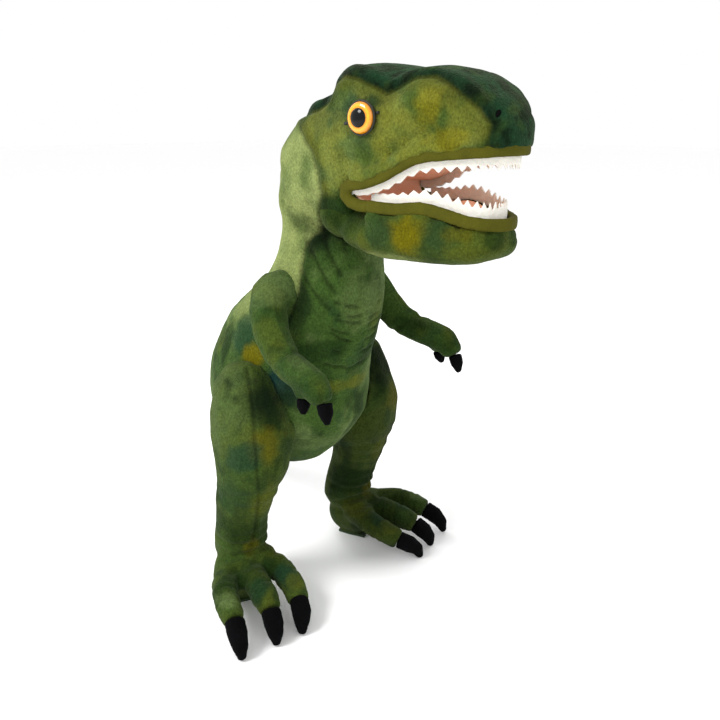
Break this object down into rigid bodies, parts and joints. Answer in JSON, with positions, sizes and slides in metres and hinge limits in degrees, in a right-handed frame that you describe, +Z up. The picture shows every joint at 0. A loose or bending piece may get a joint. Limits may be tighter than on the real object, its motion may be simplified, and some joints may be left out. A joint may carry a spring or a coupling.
{
  "type": "stuffed dinosaur",
  "caption": "Standing plush dinosaur on two stuffed legs, with an open toothed mouth, short arms and a curved tail; head, jaw, arms and tail flex at their seams.",
  "frame": {"origin": "centre of the footprint box on the floor, under the middle of the whole toy", "axes": "+Z up, -Y the way the toy faces, +X its own left side"},
  "size_m": [0.2966, 0.4872, 0.476],
  "materials": {
    "plush_green": "short pile, mottled",
    "plush_pale": "short pile, mottled",
    "plush_belly": "short pile, mottled",
    "plush_dark": "short pile, fuzzy",
    "sole_fabric": "short pile",
    "lip_fabric": "smooth velour",
    "mouth_lining": "smooth velour",
    "felt_white": "matte felt",
    "claw_velour": "velour",
    "eye_amber": "glossy dome",
    "eye_black": "glossy",
    "washer_plastic": "moulded",
    "label_satin": "satin",
    "pellet_cloth": "plain weave",
    "fibre_fill": "loose fibre"
  },
  "bodies": {
    "torso": {"back_panel": "plush_pale", "torso_side_left": "plush_green", "torso_side_right": "plush_green", "belly_panel": "plush_belly", "torso_stuffing": "fibre_fill", "leg_skin_left": "plush_green", "leg_skin_right": "plush_green", "leg_stuffing_left": "fibre_fill", "leg_stuffing_right": "fibre_fill", "sole_left": "sole_fabric", "sole_right": "sole_fabric", "pellet_bag_left": "pellet_cloth", "pellet_bag_right": "pellet_cloth", "foot_claws_left": "claw_velour", "foot_claws_right": "claw_velour", "care_label": "label_satin"},
    "head": {"crown_panel": "plush_dark", "cheek_left": "plush_green", "cheek_right": "plush_green", "head_stuffing": "fibre_fill", "upper_lip": "lip_fabric", "palate_lining": "mouth_lining", "upper_teeth": "felt_white", "eye_left": "eye_amber", "eye_right": "eye_amber", "pupil_left": "eye_black", "pupil_right": "eye_black", "eye_washer_left": "washer_plastic", "eye_washer_right": "washer_plastic", "nostrils": "eye_black"},
    "jaw": {"jaw_skin": "plush_green", "jaw_stuffing": "fibre_fill", "lower_lip": "lip_fabric", "mouth_floor_lining": "mouth_lining", "lower_teeth": "felt_white"},
    "arm_left": {"arm_skin_left": "plush_green", "arm_stuffing_left": "fibre_fill", "hand_claws_left": "claw_velour"},
    "arm_right": {"arm_skin_right": "plush_green", "arm_stuffing_right": "fibre_fill", "hand_claws_right": "claw_velour"},
    "tail": {"tail_skin": "plush_green", "tail_stuffing": "fibre_fill"}
  },
  "joints": [
    {"name": "head_nod", "type": "hinge", "parent": "torso", "child": "head", "pos_m": [0, -0.0476, 0.384], "axis": [1, 0, 0], "range_deg": [-10, 8], "stiffness_Nm_per_rad": 4},
    {"name": "jaw_open", "type": "hinge", "parent": "head", "child": "jaw", "pos_m": [0, -0.1196, 0.386], "axis": [1, 0, 0], "range_deg": [-8, 7], "stiffness_Nm_per_rad": 0.8},
    {"name": "arm_swing_left", "type": "hinge", "parent": "torso", "child": "arm_left", "pos_m": [0.056, -0.0436, 0.297], "axis": [-1, 0, 0], "range_deg": [-4, 35], "stiffness_Nm_per_rad": 0.4},
    {"name": "arm_swing_right", "type": "hinge", "parent": "torso", "child": "arm_right", "pos_m": [-0.056, -0.0436, 0.297], "axis": [-1, 0, 0], "range_deg": [-4, 35], "stiffness_Nm_per_rad": 0.4},
    {"name": "tail_sway", "type": "hinge", "parent": "torso", "child": "tail", "pos_m": [0.026, 0.1024, 0.122], "axis": [0, 0, 1], "range_deg": [-15, 15], "stiffness_Nm_per_rad": 1}
  ]
}
